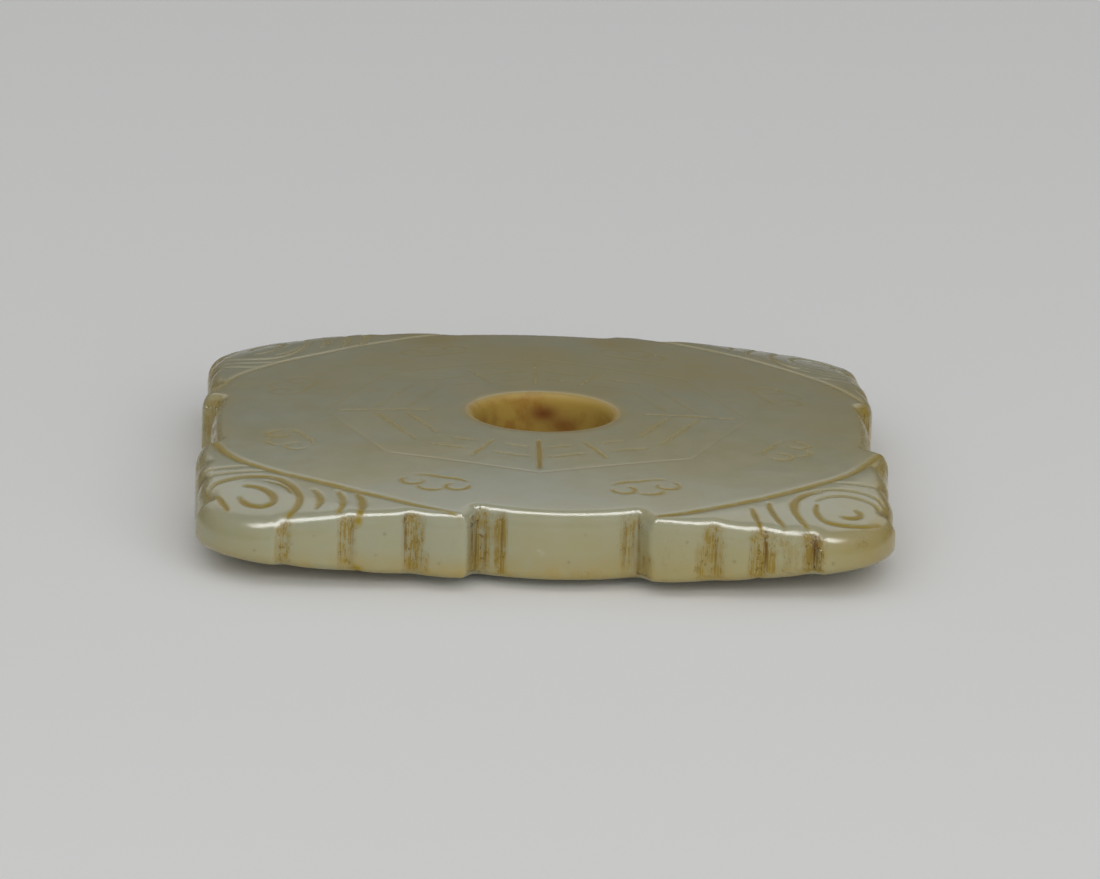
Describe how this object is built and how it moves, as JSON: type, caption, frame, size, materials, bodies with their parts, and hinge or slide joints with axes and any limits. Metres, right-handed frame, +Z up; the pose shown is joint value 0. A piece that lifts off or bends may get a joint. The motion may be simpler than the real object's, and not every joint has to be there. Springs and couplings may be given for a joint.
{
  "type": "carved jade plaque",
  "caption": "Rounded square jade plaque with scalloped sides, domed faces, a round central hole and engraved cloud scrolls round an octagon.",
  "frame": {"origin": "centre of the flat ring on the underside that the plaque rests on, below the middle of the hole", "axes": "+Z up through the hole, +X to the right and -Y to the front, square to the plaque's sides"},
  "size_m": [0.0601, 0.0602, 0.0078],
  "materials": {
    "jade": "polished, waxy, with brown stain in the grooves"
  },
  "bodies": {
    "root": {"carved_stone": "jade"}
  },
  "joints": []
}
